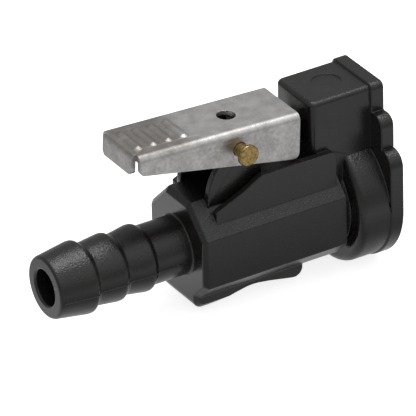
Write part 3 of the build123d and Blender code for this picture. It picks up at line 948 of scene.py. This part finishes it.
class COUPLING_OT_studio(bpy.types.Operator):
    """Floor, surroundings, lamp and camera"""

    bl_idname = "coupling.studio"
    bl_label = "Studio"

    def execute(self, context):
        studio = context.scene.coupling_studio
        scene = context.scene
        # Floor: shows white and keeps the shadow; to glossy surfaces it shows painted shade round
        # the object and painted light behind it
        material, tree = material_tree("studio_floor_paper")
        path = add(tree, "ShaderNodeLightPath").outputs
        place = add(tree, "ShaderNodeTexCoord").outputs["Object"]
        depth = add(tree, "ShaderNodeSeparateXYZ", {"Vector": place}).outputs["Y"]
        # Painted shade beside the object and painted light behind it, set by place on the floor
        before = add(
            tree, "ShaderNodeMapRange",
            {"Value": depth, "From Min": FRONT_FADE[0], "From Max": FRONT_FADE[1],
             "To Min": FRONT_SHADE, "To Max": BESIDE_SHADE},
        )
        behind = add(
            tree, "ShaderNodeMapRange",
            {"Value": depth, "From Min": BACK_FADE[0], "From Max": BACK_FADE[1],
             "To Min": before.outputs[0], "To Max": BACK_SHADE},
        )
        spread = add(tree, "ShaderNodeVectorMath", {0: place}, operation="LENGTH")
        far = add(
            tree, "ShaderNodeMapRange",
            {"Value": spread.outputs["Value"], "From Min": FAR_FADE[0],
             "From Max": FAR_FADE[1]},
        )
        painted_floor_shade = add(
            tree, "ShaderNodeMix",
            {"Factor": far.outputs[0], "A": behind.outputs[0], "B": FAR_SHADE},
            data_type="FLOAT",
        )
        # That painted shade goes half into the floor's diffuse colour, which takes the light's
        # shadows, and half into a painted glow.
        half_painted_shade = add(
            tree, "ShaderNodeMath", {0: painted_floor_shade.outputs[0], 1: 0.5}, operation="MULTIPLY"
        )
        painted_shade_colour = add(tree, "ShaderNodeCombineColor")
        for channel in painted_shade_colour.inputs:
            tree.links.new(half_painted_shade.outputs[0], channel)
        paper = add(tree, "ShaderNodeBsdfDiffuse", {"Color": linear(PAPER)})
        seen = add(tree, "ShaderNodeEmission", {"Strength": PAPER_GLOW})
        shown = add(tree, "ShaderNodeAddShader", {0: paper.outputs[0], 1: seen.outputs[0]})
        lit_part = add(tree, "ShaderNodeBsdfDiffuse", {"Color": painted_shade_colour.outputs[0]})
        # Painted glow, set by place, which glossy surfaces mirror
        painted_floor_glow = add(tree, "ShaderNodeEmission", {"Strength": half_painted_shade.outputs[0]})
        glossy = add(tree, "ShaderNodeAddShader", {0: lit_part.outputs[0], 1: painted_floor_glow.outputs[0]})
        mirror_rays = add(
            tree, "ShaderNodeMath",
            {0: path["Is Glossy Ray"], 1: path["Is Transmission Ray"]}, operation="MAXIMUM",
        )
        for_light = add(
            tree, "ShaderNodeMixShader",
            {0: mirror_rays.outputs[0], 1: paper.outputs[0], 2: glossy.outputs[0]},
        )
        all_rays = add(
            tree, "ShaderNodeMixShader",
            {0: path["Is Camera Ray"], 1: for_light.outputs[0], 2: shown.outputs[0]},
        )
        finish_material(tree, all_rays)
        half = studio.floor_size / 2
        level = cad_bounds[0][2]
        mesh = bpy.data.meshes.new("studio_floor")
        corners = ((-half, -half), (half, -half), (half, half), (-half, half))
        mesh.from_pydata([(x, y, level) for x, y in corners], [], [(0, 1, 2, 3)])
        mesh.materials.append(material)
        floor = link("studio_floor", mesh)
        # Surroundings: brighter overhead, white to the camera
        world = bpy.data.worlds.new("studio_surroundings")
        scene.world = world
        world.use_nodes = True
        sky = world.node_tree
        sky.nodes.clear()
        rays = add(sky, "ShaderNodeLightPath").outputs
        towards = add(
            sky, "ShaderNodeVectorMath",
            {0: add(sky, "ShaderNodeTexCoord").outputs["Generated"], 1: SKY_DIRECTION},
            operation="DOT_PRODUCT",
        )
        overhead = add(
            sky, "ShaderNodeMapRange",
            {"Value": towards.outputs["Value"], "From Min": SKY_FADE[0],
             "From Max": SKY_FADE[1], "To Min": studio.side_light, "To Max": studio.top_light},
            interpolation_type="SMOOTHSTEP",
        )
        strength = add(
            sky, "ShaderNodeMix",
            {"Factor": rays["Is Camera Ray"], "A": overhead.outputs[0], "B": 1.0},
            data_type="FLOAT",
        )
        light = add(sky, "ShaderNodeBackground", {"Strength": strength.outputs[0]})
        add(sky, "ShaderNodeOutputWorld", {"Surface": light.outputs[0]})
        # Soft lamp
        lamp_data = bpy.data.lights.new("soft_lamp", "AREA")
        lamp_data.shape = "RECTANGLE"
        lamp_data.size = LAMP_LENGTH
        lamp_data.size_y = LAMP_WIDTH
        lamp_data.energy = LAMP_POWER
        lamp = bpy.data.objects.new("soft_lamp", lamp_data)
        scene.collection.objects.link(lamp)
        lamp.location = LAMP_DIRECTION * LAMP_DISTANCE
        aim = LAMP_AIM - lamp.location
        lamp.rotation_euler = aim.to_track_quat("-Z", "Y").to_euler()
        # Camera
        azimuth, elevation, roll = studio.azimuth, studio.elevation, studio.roll
        back = Vector(
            (
                math.sin(azimuth) * math.cos(elevation),
                -math.cos(azimuth) * math.cos(elevation),
                math.sin(elevation),
            )
        )
        level_right = Vector((math.cos(azimuth), math.sin(azimuth), 0))
        level_up = back.cross(level_right)
        right = math.cos(roll) * level_right + math.sin(roll) * level_up
        up = back.cross(right)
        shoulder = Vector((SHOULDER_X, 0, 0))
        spot = shoulder + back * studio.distance + right * studio.aim_right + up * studio.aim_up
        camera_data = bpy.data.cameras.new("studio_camera")
        camera_data.lens = studio.lens
        camera_data.sensor_width = 36.0
        camera = bpy.data.objects.new("studio_camera", camera_data)
        scene.collection.objects.link(camera)
        turn = Matrix((right, up, back)).transposed().to_4x4()
        camera.matrix_world = Matrix.Translation(spot) @ turn
        scene.camera = camera
        scene.view_settings.view_transform = "Standard"
        return {"FINISHED"}


class COUPLING_PT_sidebar(bpy.types.Panel):
    """Lists the pieces and their settings"""

    bl_idname = "COUPLING_PT_sidebar"
    bl_label = "Quick Disconnect Coupling"
    bl_space_type = "VIEW_3D"
    bl_region_type = "UI"
    bl_category = "Coupling"

    def draw(self, context):
        column = self.layout.column(align=True)
        for operator in OPERATORS:
            column.operator(operator.bl_idname)
        for settings in (
            context.scene.coupling_finish,
            context.scene.coupling_sizes,
            context.scene.coupling_studio,
        ):
            box = self.layout.box()
            for name in settings.__annotations__:
                box.prop(settings, name)


OPERATORS = (
    COUPLING_OT_body,
    COUPLING_OT_seam,
    COUPLING_OT_lever,
    COUPLING_OT_pin,
    COUPLING_OT_springs,
    COUPLING_OT_socket,
    COUPLING_OT_studio,
)
CLASSES = (CouplingFinish, CouplingSizes, CouplingStudio, *OPERATORS, COUPLING_PT_sidebar)


def register():
    """Registers the classes and hangs their settings on the scene."""
    for made in CLASSES:
        bpy.utils.register_class(made)
    bpy.types.Scene.coupling_finish = bpy.props.PointerProperty(type=CouplingFinish)
    bpy.types.Scene.coupling_sizes = bpy.props.PointerProperty(type=CouplingSizes)
    bpy.types.Scene.coupling_studio = bpy.props.PointerProperty(type=CouplingStudio)


def unregister():
    """Takes the settings and the classes away."""
    del bpy.types.Scene.coupling_finish
    del bpy.types.Scene.coupling_sizes
    del bpy.types.Scene.coupling_studio
    for made in reversed(CLASSES):
        bpy.utils.unregister_class(made)


def main():
    """Makes every piece and the studio."""
    register()
    for operator in OPERATORS:
        group, name = operator.bl_idname.split(".")
        getattr(getattr(bpy.ops, group), name)()


if __name__ == "__main__":
    main()
